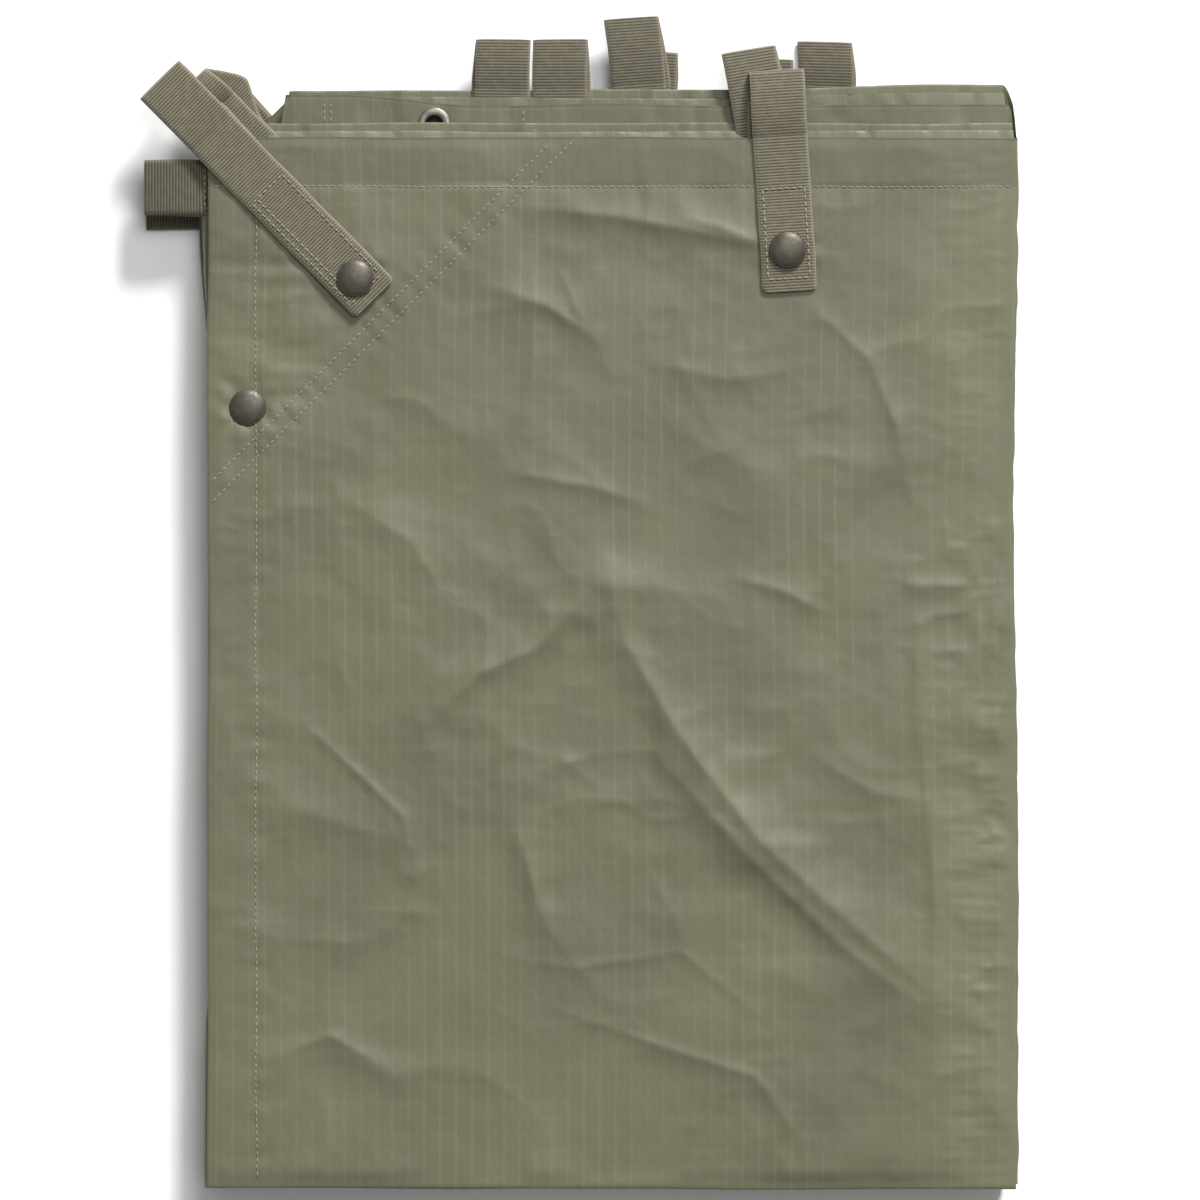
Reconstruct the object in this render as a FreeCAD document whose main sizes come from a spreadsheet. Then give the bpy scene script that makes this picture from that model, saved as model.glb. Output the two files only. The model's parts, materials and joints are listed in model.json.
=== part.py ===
import FreeCAD, Part
import os
import re

import Sketcher

# A folding stretcher, packed: one sheet of ripstop cloth with webbing carrying loops sewn round its
# hem, folded in four along its length and then in four across it like a concertina. The pack lies on
# its back. X runs across it, Y from its bottom folds up to its hems, Z through the layers to the
# front. The origin is the middle of the underside. All sizes are in millimetres and degrees.
#
# Two neighbouring layers of cloth, with the air between them, make one leaf. Two leaves make one
# panel, which is a quarter of the sheet's width. Leaf 1 and panel 1 are at the front.

SIZES = {
    "pack_width": 370.0,
    "pack_height": 500.0,
    "leaf_thickness": 3.0,
    "parting_gap": 0.3,
    "side_gap": 0.3,
    "corner_cut": 4.0,
    "slant_start": 65.0,
    "slant_end": 132.0,
    "strap_width": 25.0,
    "strap_thickness": 1.0,
    "strap_fold_cut": 0.8,
    "strap_end_gap": 0.3,
    "strap_clearance": 1.5,
    "recess_run_out": 3.0,
    "patch_leg": 158.0,
    "patch_thickness": 0.4,
    "cap_radius": 8.4,
    "cap_rim": 0.7,
    "cap_height": 2.2,
    "post_radius": 2.0,
    "post_gap": 0.25,
    "post_reach": 0.6,
    "socket_radius": 6.0,
    "socket_bore": 3.0,
    "socket_height": 1.1,
    "socket_depth": 0.1,
    "groove_depth": 0.7,
    "groove_wall": 0.25,
    "spring_wire": 0.25,
    "nub_radius": 2.6,
    "nub_height": 1.3,
    "flange_height": 0.5,
    "stem_radius": 1.4,
    "stem_gap": 0.2,
    "stud_grip": 0.5,
    "hem_stud_inset": 18.0,
    "hem_stud_rise": 35.3,
    "eyelet_bore": 4.0,
    "eyelet_barrel": 4.8,
    "eyelet_flange": 8.0,
    "eyelet_lip": 0.4,
    "eyelet_along": 102.7,
    "eyelet_inset": 8.7,
}

# each leaf: how far its top edge lies below the rearmost hem, how far in from the left its cut corner
# starts, how far its left edge stands out near the top, and how far its right fold lies inside
LEAF_KEYS = ("hem_drop", "corner_start", "overhang", "inset")
LEAVES = {
    1: (22.3, 2.0, 0.0, 0.0),
    2: (15.5, 26.0, 1.0, 1.5),
    3: (7.0, 37.0, 3.0, 3.5),
    4: (0.0, 40.0, 4.5, 5.5),
    5: (4.0, 30.0, 4.0, 4.0),
    6: (2.0, 33.0, 3.0, 5.0),
    7: (4.0, 26.0, 4.5, 4.5),
    8: (3.0, 28.0, 2.0, 5.5),
}

# each loop: its leaf, then how far the middle of its bending line lies from the pack's left edge, in
# millimetres and then in widths of webbing, and how far above its leaf's hem; how far the webbing is
# turned from +Y, how far the loop stands out past the bending line, and the length of its legs on the
# front and the back of the leaf
LOOP_KEYS = ("along", "widths", "rise", "turn", "reach", "front_leg", "back_leg")
LOOPS = {
    "head_corner_loop_1": (1, (1.6, 0, 2.3, 44.6, 34.2, 106.0, 40.0)),
    "foot_corner_loop_1": (2, (3.0, 0, 5.5, 45.0, 17.2, 60.0, 40.0)),
    "head_corner_loop_4": (7, (10.4, 0, -7.0, 45.0, 14.0, 60.0, 40.0)),
    "foot_corner_loop_4": (8, (5.0, 0, -13.4, 45.0, 12.0, 60.0, 40.0)),
    "head_loop_1": (1, (260.1, 0, 1.2, 3.6, 29.9, 71.2, 40.0)),
    "foot_loop_1": (2, (251.6, 0, 2.2, 9.3, 32.3, 60.0, 40.0)),
    "head_loop_2": (4, (160.0, 0, 1.0, 0.5, 22.8, 60.0, 40.0)),
    "foot_loop_2": (4, (158.6, -1, 1.0, -0.5, 22.8, 60.0, 40.0)),
    "head_loop_3": (5, (195.9, 0, 7.0, 4.0, 31.0, 60.0, 40.0)),
    "foot_loop_3": (6, (200.9, 0, 8.0, -2.0, 12.6, 63.0, 43.0)),
    "head_loop_4": (7, (253.8, 0, 7.0, 0.0, 12.2, 60.0, 40.0)),
    "foot_loop_4": (8, (281.4, 0, 6.0, -1.5, 20.4, 60.0, 40.0)),
}

# each side loop: its leaf, the corner loop that the slanted ends of its legs run beside, then its place
# and reach as above
SIDE_KEYS = ("along", "widths", "rise", "turn", "reach")
SIDE_LOOPS = {
    "side_loop_1": (2, "foot_corner_loop_1", (-5.5, 0, -29.0, 90.0, 24.5)),
    "side_loop_4": (8, "foot_corner_loop_4", (-5.5, 0, -47.7, 90.0, 24.5)),
}
ALL_LOOPS = {loop: leaf for loop, (leaf, *_) in (LOOPS | SIDE_LOOPS).items()}

# each corner patch: the corner loop sewn over it, then any other loop whose back leg crosses it
PATCHES = {
    "head_corner_patch_1": ("head_corner_loop_1",),
    "foot_corner_patch_1": ("foot_corner_loop_1", "side_loop_1"),
    "head_corner_patch_4": ("head_corner_loop_4",),
    "foot_corner_patch_4": ("foot_corner_loop_4", "side_loop_4"),
}

# loops with a press stud through the front leg, and how far it sits from that leg's end
STUD_MARGINS = {"head_corner_loop_1": 13.0, "head_loop_1": 18.9}

# where a cap's dome bends, as angles up an ellipse
SHOULDER_ANGLE = 30
CROWN_ANGLE = 60

# the leaves with the hem press stud's two halves, and those with an eyelet
CAP_LEAF = 1
STUD_LEAF = 7
EYELET_LEAVES = (3, 6)

doc = FreeCAD.newDocument("FoldingStretcher")
table = doc.addObject("Spreadsheet::Sheet", "Sizes")
aliases = set()
subparts = []


def fill_table():
    """Write every driving dimension to the sheet, one to a row."""
    rows = dict(SIZES)
    for leaf, values in LEAVES.items():
        rows.update({f"leaf_{leaf}_{key}": value for key, value in zip(LEAF_KEYS, values)})
    for loop, (_, values) in LOOPS.items():
        rows.update({f"{loop}_{key}": value for key, value in zip(LOOP_KEYS, values)})
    for loop, (*_, values) in SIDE_LOOPS.items():
        rows.update({f"{loop}_{key}": value for key, value in zip(SIDE_KEYS, values)})
    for loop, value in STUD_MARGINS.items():
        rows[f"{loop}_margin"] = value
    for row, (alias, value) in enumerate(rows.items(), start=1):
        table.set(f"A{row}", alias)
        table.set(f"B{row}", str(value))
        table.setAlias(f"B{row}", alias)
    aliases.update(rows)
    doc.recompute()


def formula(text):
    """The text with each alias in it spelled as a cell of the sheet."""
    return re.sub(r"[a-z][a-z_0-9]*", lambda word: "Sizes." * (word[0] in aliases) + word[0], text)


def number(text):
    """What a formula comes to."""
    found = table.evalExpression(formula(text))
    return float(getattr(found, "Value", found))


def bind(thing, prop, text):
    """Tie a property to a formula."""
    thing.setExpression(prop, formula(text))


def place(thing, spot, turn="0"):
    """Put a thing at a spot given as three formulas, turned about +Z."""
    thing.Placement = FreeCAD.Placement(
        FreeCAD.Vector(*(number(text) for text in spot)),
        FreeCAD.Rotation(FreeCAD.Vector(0, 0, 1), number(turn)),
    )
    for axis, text in zip("xyz", spot):
        bind(thing, f"Placement.Base.{axis}", text)
    bind(thing, "Placement.Rotation.Angle", turn)


def new_body(label, spot, turn="0"):
    """An empty body at a spot given as three formulas."""
    body = doc.addObject("PartDesign::Body", label)
    body.Label = label
    place(body, spot, turn)
    return body


def new_sketch(body, role, spot=("0", "0", "0"), turn="0"):
    """A sketch on one of the body's own origin planes, moved and turned in it by formulas."""
    sketch = body.newObject("Sketcher::SketchObject", f"{body.Name}_sketch")
    plane = next(plane for plane in body.Origin.OriginFeatures if plane.Role == role)
    sketch.AttachmentSupport = [(plane, "")]
    sketch.MapMode = "FlatFace"
    sketch.AttachmentOffset = FreeCAD.Placement(
        FreeCAD.Vector(*(number(text) for text in spot)),
        FreeCAD.Rotation(FreeCAD.Vector(0, 0, 1), number(turn)),
    )
    for axis, text in zip("xyz", spot):
        bind(sketch, f"AttachmentOffset.Base.{axis}", text)
    bind(sketch, "AttachmentOffset.Rotation.Angle", turn)
    return sketch


def pin(sketch, edge, point, corner):
    """Hold one point of an edge at a pair of formulas from the sketch's origin."""
    for kind, text in zip(("DistanceX", "DistanceY"), corner):
        at = sketch.addConstraint(Sketcher.Constraint(kind, edge, point, number(text)))
        bind(sketch, f"Constraints[{at}]", text)


def draw_polygon(sketch, corners):
    """Draw straight lines round corners that are pairs of formulas."""
    points = [FreeCAD.Vector(number(x), number(y), 0) for x, y in corners]
    for edge, start in enumerate(points):
        sketch.addGeometry(Part.LineSegment(start, points[(edge + 1) % len(points)]))
    for edge, corner in enumerate(corners):
        sketch.addConstraint(Sketcher.Constraint("Coincident", edge, 1, (edge - 1) % len(points), 2))
        pin(sketch, edge, 1, corner)


def draw_circle(sketch, centre, radius):
    """Draw a circle from formulas."""
    middle = FreeCAD.Vector(number(centre[0]), number(centre[1]), 0)
    edge = sketch.addGeometry(Part.Circle(middle, FreeCAD.Vector(0, 0, 1), number(radius)))
    at = sketch.addConstraint(Sketcher.Constraint("Radius", edge, number(radius)))
    bind(sketch, f"Constraints[{at}]", radius)
    pin(sketch, edge, 3, centre)


def pad(body, sketch, length, both_ways=False):
    """Raise a sketch into a solid."""
    feature = body.newObject("PartDesign::Pad", f"{body.Name}_pad")
    feature.Profile = sketch
    feature.SideType = "Symmetric" if both_ways else "One side"
    bind(feature, "Length", length)
    sketch.Visibility = False
    doc.recompute()


def pocket(body, sketch, depth, upward):
    """Cut a sketch into the body, and see that it took something away."""
    before = body.Shape.Volume
    feature = body.newObject("PartDesign::Pocket", f"{body.Name}_pocket")
    feature.Profile = sketch
    feature.Reversed = upward
    bind(feature, "Length", depth)
    sketch.Visibility = False
    doc.recompute()
    if body.Shape.Volume >= before:
        raise RuntimeError(f"{body.Label}: a pocket took nothing away")


def turned(label, spot, corners, turn="0"):
    """A body turned about its own Z axis from corners given as radius and height."""
    body = new_body(label, spot, turn)
    sketch = new_sketch(body, "XZ_Plane")
    draw_polygon(sketch, corners)
    feature = body.newObject("PartDesign::Revolution", f"{body.Name}_turn")
    feature.Profile = sketch
    feature.ReferenceAxis = (sketch, ["V_Axis"])
    feature.Angle = 360
    sketch.Visibility = False
    return body


def grouped(label, things):
    """Several solids that share one node."""
    group = doc.addObject("Part::Compound", label)
    group.Label = label
    group.Links = things
    return group


def leaf_floor(leaf):
    """The height of a leaf's back face."""
    return f"{len(LEAVES) - leaf} * (leaf_thickness + parting_gap)"


def leaf_face(leaf):
    """The height of a leaf's front face."""
    return f"{leaf_floor(leaf)} + leaf_thickness"


def leaf_label(leaf):
    """A leaf's name, from its panel and whether it is the panel's front or back leaf."""
    return f"panel_{(leaf + 1) // 2}_{'front' if leaf % 2 else 'back'}_leaf"


def leaf_corners(leaf):
    """The outline of a leaf, from its cut top-left corner round to the left."""
    left = "-pack_width / 2"
    right = f"pack_width / 2 - leaf_{leaf}_inset"
    top = f"pack_height / 2 - leaf_{leaf}_hem_drop"
    bottom = "-pack_height / 2"
    start, overhang = f"leaf_{leaf}_corner_start", f"leaf_{leaf}_overhang"
    return [
        (f"{left} + {start}", top),
        (f"{left} - {overhang}", f"{top} - {start} - {overhang}"),
        (f"{left} - {overhang}", "pack_height / 2 - slant_start"),
        (left, "pack_height / 2 - slant_end"),
        (left, f"{bottom} + corner_cut"),
        (f"{left} + corner_cut", bottom),
        (f"{right} - corner_cut", bottom),
        (right, f"{bottom} + corner_cut"),
        (right, f"{top} - corner_cut"),
        (f"{right} - corner_cut", top),
    ]


def patch_corners(leaf, gap):
    """The triangle of a corner patch, whose edges stand back from the leaf's by the gap's formula."""
    left = f"-pack_width / 2 - leaf_{leaf}_overhang"
    top = f"pack_height / 2 - leaf_{leaf}_hem_drop"
    start = f"(leaf_{leaf}_corner_start + leaf_{leaf}_overhang)"
    return [
        (f"{left} + {start} + {gap}", f"{top} - {gap}"),
        (f"{left} + {gap}", f"{top} - {start} - {gap}"),
        (f"{left} + {gap}", f"{top} - patch_leg + {gap}"),
        (f"{left} + patch_leg - {gap}", f"{top} - {gap}"),
    ]


def strap_middle(loop):
    """The middle of a loop's bending line, seen from the front."""
    along = f"0 - pack_width / 2 + {loop}_along + {loop}_widths * strap_width"
    return (along, f"pack_height / 2 - leaf_{ALL_LOOPS[loop]}_hem_drop + {loop}_rise")


def strap_spot(loop):
    """The middle of a loop's bending line, level with the front of its leaf."""
    return (*strap_middle(loop), leaf_face(ALL_LOOPS[loop]))


def strap_end(loop, leg):
    """The length of a leg down its middle, and how far each side of a slanted end runs past it."""
    if loop in LOOPS:
        return f"{loop}_{leg}", "0"
    x, y = strap_middle(loop)
    corner = SIDE_LOOPS[loop][1]
    corner_x, corner_y = strap_middle(corner)
    turn = f"{corner}_turn"
    across = f"(({corner_x}) - ({x})) * cos({turn}) + (({corner_y}) - ({y})) * sin({turn})"
    clear = f"({across} - strap_width / 2 - strap_clearance)"
    return f"{clear} / sin({loop}_turn - {turn})", f"tan({loop}_turn - {turn})"


def strap_corners(loop, leg, gap="0", run_out="0"):
    """The outline of a leg of webbing, or of its recess, with room at its sides and end."""
    length, slant = strap_end(loop, leg)
    side = f"(strap_width / 2 + {gap})"
    end = f"({length} + {gap})"
    rise = f"{side} * {slant}"
    return [
        (f"0 - {side}", f"0 - {end} - {rise}"),
        (side, f"{rise} - {end}"),
        (side, run_out),
        (f"0 - {side}", run_out),
    ]


def stud_setback(loop):
    """How far behind a loop's bending line its press stud sits."""
    return f"({loop}_front_leg - {loop}_margin)"


def cut_strap(body, loop, leg, height, depth, upward):
    """Cut the recess for one leg of a loop into a body that isn't turned."""
    sketch = new_sketch(body, "XY_Plane", (*strap_middle(loop), height), f"{loop}_turn")
    draw_polygon(sketch, strap_corners(loop, leg, "side_gap", "recess_run_out"))
    pocket(body, sketch, depth, upward)


def cut_round(body, centre, radius, height, depth, upward):
    """Cut a round recess or hole into a body that isn't turned."""
    sketch = new_sketch(body, "XY_Plane", ("0", "0", height))
    draw_circle(sketch, centre, radius)
    pocket(body, sketch, depth, upward)


def stud_spots():
    """Each press stud through the front leaf: its centre, and the webbing under its cap."""
    spots = {}
    for loop in STUD_MARGINS:
        x, y = strap_middle(loop)
        spots[loop] = (
            f"{x} + {stud_setback(loop)} * sin({loop}_turn)",
            f"{y} - {stud_setback(loop)} * cos({loop}_turn)",
            "strap_thickness",
        )
    patch_end = f"pack_height / 2 - leaf_{CAP_LEAF}_hem_drop - patch_leg"
    spots["hem"] = ("-pack_width / 2 + hem_stud_inset", f"{patch_end} + hem_stud_rise", "0")
    return spots


def clinch_grip():
    """The cloth that a cap's post goes through, so that its socket is sunk into the leaf's back."""
    return "(leaf_thickness - strap_thickness - socket_height - socket_depth)"


def eyelet_centre(leaf):
    """Where the eyelet goes through a leaf's hem."""
    return ("-pack_width / 2 + eyelet_along", f"pack_height / 2 - leaf_{leaf}_hem_drop - eyelet_inset")


def make_leaf(leaf):
    """A pair of layers of the sheet, recessed for the webbing, patch, press studs and eyelet on it."""
    body = new_body(leaf_label(leaf), ("0", "0", leaf_floor(leaf)))
    sketch = new_sketch(body, "XY_Plane")
    draw_polygon(sketch, leaf_corners(leaf))
    pad(body, sketch, "leaf_thickness")
    for loop, *_ in PATCHES.values():
        if ALL_LOOPS[loop] == leaf:
            sketch = new_sketch(body, "XY_Plane")
            draw_polygon(sketch, patch_corners(leaf, "0"))
            pocket(body, sketch, "patch_thickness", upward=True)
    for loop, own_leaf in ALL_LOOPS.items():
        if own_leaf == leaf:
            cut_strap(body, loop, "front_leg", "leaf_thickness", "strap_thickness", upward=False)
            cut_strap(body, loop, "back_leg", "0", "strap_thickness", upward=True)
    if leaf == CAP_LEAF:
        for x, y, webbing in stud_spots().values():
            depth = f"leaf_thickness - {webbing} - {clinch_grip()}"
            cut_round(body, (x, y), "socket_radius + side_gap", "0", depth, upward=True)
            cut_round(body, (x, y), "post_radius + post_gap", "0", "leaf_thickness", upward=True)
    if leaf == STUD_LEAF:
        x, y, _ = stud_spots()["hem"]
        room = "leaf_thickness - flange_height - stud_grip"
        cut_round(body, (x, y), "socket_radius + side_gap", "leaf_thickness", room, upward=False)
        cut_round(body, (x, y), "socket_radius + side_gap", "0", "flange_height", upward=True)
        cut_round(body, (x, y), "stem_radius + stem_gap", "0", "leaf_thickness", upward=True)
    if leaf in EYELET_LEAVES:
        centre = eyelet_centre(leaf)
        cut_round(body, centre, "eyelet_flange + side_gap", "leaf_thickness", "eyelet_lip", upward=False)
        cut_round(body, centre, "eyelet_flange + side_gap", "0", "eyelet_lip", upward=True)
        cut_round(body, centre, "eyelet_barrel + side_gap", "0", "leaf_thickness", upward=True)
    return body


def make_patch(label, loops):
    """A triangle of cloth sewn behind a corner, open where back legs and press studs pass."""
    leaf = ALL_LOOPS[loops[0]]
    body = new_body(label, ("0", "0", leaf_floor(leaf)))
    sketch = new_sketch(body, "XY_Plane")
    draw_polygon(sketch, patch_corners(leaf, "side_gap"))
    pad(body, sketch, "patch_thickness")
    for loop in loops:
        cut_strap(body, loop, "back_leg", "0", "patch_thickness", upward=True)
    names = {CAP_LEAF: ("hem", "head_corner_loop_1"), STUD_LEAF: ("hem",)}.get(leaf, ())
    for name in names:
        x, y, _ = stud_spots()[name]
        cut_round(body, (x, y), "socket_radius + side_gap", "0", "patch_thickness", upward=True)
    return body


def make_legs(loop):
    """The two ends of a loop's webbing, sewn to the front and the back of its leaf."""
    legs = []
    for leg, low in (("front_leg", "0 - strap_thickness"), ("back_leg", "0 - leaf_thickness")):
        body = new_body(f"{loop}_{leg}", ("0", "0", low))
        sketch = new_sketch(body, "XY_Plane")
        draw_polygon(sketch, strap_corners(loop, leg))
        pad(body, sketch, "strap_thickness")
        legs.append(body)
    if loop in STUD_MARGINS:
        centre = ("0", f"0 - {stud_setback(loop)}")
        cut_round(legs[0], centre, "post_radius + post_gap", "0", "strap_thickness", upward=True)
    group = grouped(f"{loop}_legs", legs)
    place(group, strap_spot(loop), f"{loop}_turn")
    return group


def make_bight(loop):
    """The free part of a loop: webbing that runs out, folds over and comes back."""
    body = new_body(loop, strap_spot(loop), f"{loop}_turn")
    sketch = new_sketch(body, "YZ_Plane")
    reach, back = f"{loop}_reach", "0 - leaf_thickness"
    draw_polygon(sketch, [
        ("strap_end_gap", back),
        (f"{reach} - strap_fold_cut", back),
        (reach, f"{back} + strap_fold_cut"),
        (reach, "0 - strap_fold_cut"),
        (f"{reach} - strap_fold_cut", "0"),
        ("strap_end_gap", "0"),
        ("strap_end_gap", "0 - strap_thickness"),
        (f"{reach} - strap_thickness", "0 - strap_thickness"),
        (f"{reach} - strap_thickness", f"{back} + strap_thickness"),
        ("strap_end_gap", f"{back} + strap_thickness"),
    ])
    pad(body, sketch, "strap_width", both_ways=True)
    return body


def make_cap(name, x, y, webbing):
    """A domed cap with the hollow post that its socket is clinched to."""
    end = f"0 - {webbing} - {clinch_grip()} - post_reach"
    dome = "(cap_height - cap_rim)"
    return turned(f"{name}_cap", (x, y, leaf_face(CAP_LEAF)), [
        ("0", end),
        ("post_radius", end),
        ("post_radius", "0"),
        ("cap_radius", "0"),
        ("cap_radius", "cap_rim"),
        (f"cap_radius * cos({SHOULDER_ANGLE})", f"cap_rim + {dome} * sin({SHOULDER_ANGLE})"),
        (f"cap_radius * cos({CROWN_ANGLE})", f"cap_rim + {dome} * sin({CROWN_ANGLE})"),
        ("0", "cap_height"),
    ])


def socket_floor(webbing):
    """The height of a socket's back face."""
    return f"{leaf_face(CAP_LEAF)} - {webbing} - {clinch_grip()} - socket_height"


def make_socket(name, x, y, webbing):
    """The socket half of a press stud, with a groove for its spring."""
    return turned(f"{name}_socket", (x, y, socket_floor(webbing)), [
        ("socket_bore", "0"),
        ("socket_radius", "0"),
        ("socket_radius", "socket_height"),
        ("socket_bore", "socket_height"),
        ("socket_bore", "socket_height - groove_wall"),
        ("socket_bore + groove_depth", "socket_height - groove_wall"),
        ("socket_bore + groove_depth", "groove_wall"),
        ("socket_bore", "groove_wall"),
    ])


def make_spring(name, x, y, webbing):
    """The wire ring that grips the stud."""
    ring = doc.addObject("Part::Torus", f"{name}_spring")
    bind(ring, "Radius1", "socket_bore + groove_depth / 2")
    bind(ring, "Radius2", "spring_wire")
    place(ring, (x, y, f"{socket_floor(webbing)} + socket_height / 2"))
    return ring


def make_press_studs():
    """The caps, sockets and springs through the front leaf, and the stud half in the rear panel's hem."""
    spots = stud_spots()
    x, y, _ = spots["hem"]
    stud_seat = f"{leaf_floor(STUD_LEAF)} + flange_height + stud_grip"
    stud = turned("hem_stud", (x, y, stud_seat), [
        ("stem_radius + stem_gap", "0"),
        ("socket_radius", "0"),
        ("socket_radius", "flange_height"),
        ("nub_radius", "flange_height"),
        ("nub_radius", "nub_height"),
        ("stem_radius + stem_gap", "nub_height"),
    ])
    post = turned("hem_stud_post", (x, y, leaf_floor(STUD_LEAF)), [
        ("0", "0"),
        ("socket_radius", "0"),
        ("socket_radius", "flange_height"),
        ("stem_radius", "flange_height"),
        ("stem_radius", "flange_height + stud_grip + nub_height"),
        ("0", "flange_height + stud_grip + nub_height"),
    ])
    return [
        grouped("stud_caps", [make_cap(name, *spot) for name, spot in spots.items()]),
        grouped("stud_sockets", [make_socket(name, *spot) for name, spot in spots.items()]),
        grouped("socket_springs", [make_spring(name, *spot) for name, spot in spots.items()]),
        stud,
        post,
    ]


def make_eyelet(leaf):
    """An eyelet rolled over its washer, flush in the two faces of a hem."""
    panel = (leaf + 1) // 2
    spot = (*eyelet_centre(leaf), leaf_floor(leaf))
    eyelet = turned(f"hem_eyelet_{panel}", spot, [
        ("eyelet_bore", "0"),
        ("eyelet_barrel", "0"),
        ("eyelet_barrel", "leaf_thickness - eyelet_lip"),
        ("eyelet_flange", "leaf_thickness - eyelet_lip"),
        ("eyelet_flange", "leaf_thickness"),
        ("eyelet_bore", "leaf_thickness"),
    ])
    washer = turned(f"eyelet_washer_{panel}", spot, [
        ("eyelet_barrel + side_gap", "0"),
        ("eyelet_flange", "0"),
        ("eyelet_flange", "eyelet_lip"),
        ("eyelet_barrel + side_gap", "eyelet_lip"),
    ])
    return [eyelet, washer]


def check_all():
    """Stop if any object failed or any sub-part isn't a sound shape."""
    for thing in doc.Objects:
        if {"Invalid", "Error"} & set(thing.State):
            raise RuntimeError(f"{thing.Label}: {thing.State}")
    for part in subparts:
        if part.Shape.isNull() or not part.Shape.isValid():
            raise RuntimeError(f"{part.Label}: its shape isn't valid")
    if len({part.Label for part in subparts}) != len(subparts):
        raise RuntimeError("two sub-parts share a label")


fill_table()
for leaf in LEAVES:
    subparts.append(make_leaf(leaf))
for label, loops in PATCHES.items():
    subparts.append(make_patch(label, loops))
for loop in ALL_LOOPS:
    subparts.append(make_legs(loop))
    subparts.append(make_bight(loop))
subparts.extend(make_press_studs())
for leaf in EYELET_LEAVES:
    subparts.extend(make_eyelet(leaf))
doc.recompute()
check_all()

os.makedirs("parts", exist_ok=True)
for part in subparts:
    part.Shape.exportStep(f"parts/{part.Label}.step")
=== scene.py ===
import json
import math

import bpy
import numpy as np
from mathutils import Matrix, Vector

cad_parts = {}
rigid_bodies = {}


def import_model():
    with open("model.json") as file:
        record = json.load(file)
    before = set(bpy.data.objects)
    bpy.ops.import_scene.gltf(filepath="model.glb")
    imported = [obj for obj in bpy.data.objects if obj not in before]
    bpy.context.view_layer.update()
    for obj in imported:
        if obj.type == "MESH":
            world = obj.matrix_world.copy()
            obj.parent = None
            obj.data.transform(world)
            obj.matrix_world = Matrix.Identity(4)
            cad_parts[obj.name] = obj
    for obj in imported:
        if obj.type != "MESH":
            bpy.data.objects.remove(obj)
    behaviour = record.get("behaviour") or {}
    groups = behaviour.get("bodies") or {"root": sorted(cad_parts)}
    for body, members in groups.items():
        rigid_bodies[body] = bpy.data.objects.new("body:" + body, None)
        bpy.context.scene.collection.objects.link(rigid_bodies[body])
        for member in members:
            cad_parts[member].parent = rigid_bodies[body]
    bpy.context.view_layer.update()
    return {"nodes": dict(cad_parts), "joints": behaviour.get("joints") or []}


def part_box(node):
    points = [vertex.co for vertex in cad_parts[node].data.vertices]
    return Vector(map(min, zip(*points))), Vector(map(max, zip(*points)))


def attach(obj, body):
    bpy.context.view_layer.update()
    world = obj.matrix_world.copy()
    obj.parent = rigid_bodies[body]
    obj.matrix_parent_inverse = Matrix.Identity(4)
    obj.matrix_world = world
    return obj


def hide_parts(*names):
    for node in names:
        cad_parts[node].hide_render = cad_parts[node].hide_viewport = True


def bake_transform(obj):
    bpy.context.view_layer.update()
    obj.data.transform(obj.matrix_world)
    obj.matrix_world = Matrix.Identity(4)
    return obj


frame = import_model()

# The looks of a folding stretcher, packed: four panels of ripstop cloth folded like a concertina, with
# webbing carrying loops sewn round the hem. Each panel is one sheet folded lengthwise into four layers.
# Everything is in metres, in the frame's own axes: X across the pack, Y up to the hems, Z to the front.

MM = 0.001
LAYERS_PER_PANEL = 4

# the pack, and its cloth
HEM_DEPTH = 22.0 * MM
HEM_STEP = 0.45 * MM
HEM_EDGE = 0.22 * MM
PATCH_SEAM_GAP = 9.5 * MM
CLOTH_SINK = 0.25 * MM
STRAP_SINK = 1.1 * MM
FRONT_SINK = 0.9 * MM
CORNER_DROP = 34.0 * MM
CORNER_WIDTH = 40.0 * MM
RIPSTOP_PITCH = 7.3 * MM
WEAVE_PITCH = 0.42 * MM
SIDE_BULGE = 2.4 * MM
BOTTOM_BULGE = 2.0 * MM

# the webbing
RIB_PITCH = 1.36 * MM
RIB_HEIGHT = 0.13 * MM
RIB_SAMPLES = 4
STRAP_THICKNESS = 1.0 * MM
STRAP_COLUMNS = 9
STITCH_LENGTH = 2.3 * MM
STITCH_PITCH = 3.1 * MM
THREAD_RADIUS = 0.24 * MM
THREAD_SIDES = 6
FRAY_DEPTH = 2.6 * MM
LIFT_WINDOW = 25

# the metal pieces
CAP_RADIUS = 8.4 * MM
CAP_HEIGHT = 2.2 * MM
CAP_DOME_START = 12
EYELET_CUT = 5.6 * MM
ROUND_SIDES = 48

# the photograph is taken from far above: how much of the front's plane it shows, and around where
VIEW_WIDTH = 0.5455
VIEW_CENTRE = (-0.0068, 0.0177)
CAMERA_LENS = 300.0
FLOOR_HALF = 12.0
WORLD_STRENGTH = 0.34

NOISE_CELLS = 97
RNG_SEED = 11


# ---------------------------------------------------------------- smooth noise and small helpers

def lattice(x, y, seed):
    """Smooth noise from -1 to 1 with features about one unit across."""
    grid = np.random.default_rng(seed).uniform(-1, 1, (NOISE_CELLS, NOISE_CELLS))
    left, low = np.floor(x).astype(int), np.floor(y).astype(int)
    fx, fy = x - left, y - low
    fx, fy = fx ** 3 * (fx * (fx * 6 - 15) + 10), fy ** 3 * (fy * (fy * 6 - 15) + 10)
    row, column = low % NOISE_CELLS, left % NOISE_CELLS
    over, beside = (low + 1) % NOISE_CELLS, (left + 1) % NOISE_CELLS
    here = grid[row, column] * (1 - fx) + grid[row, beside] * fx
    above = grid[over, column] * (1 - fx) + grid[over, beside] * fx
    return here * (1 - fy) + above * fy


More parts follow.
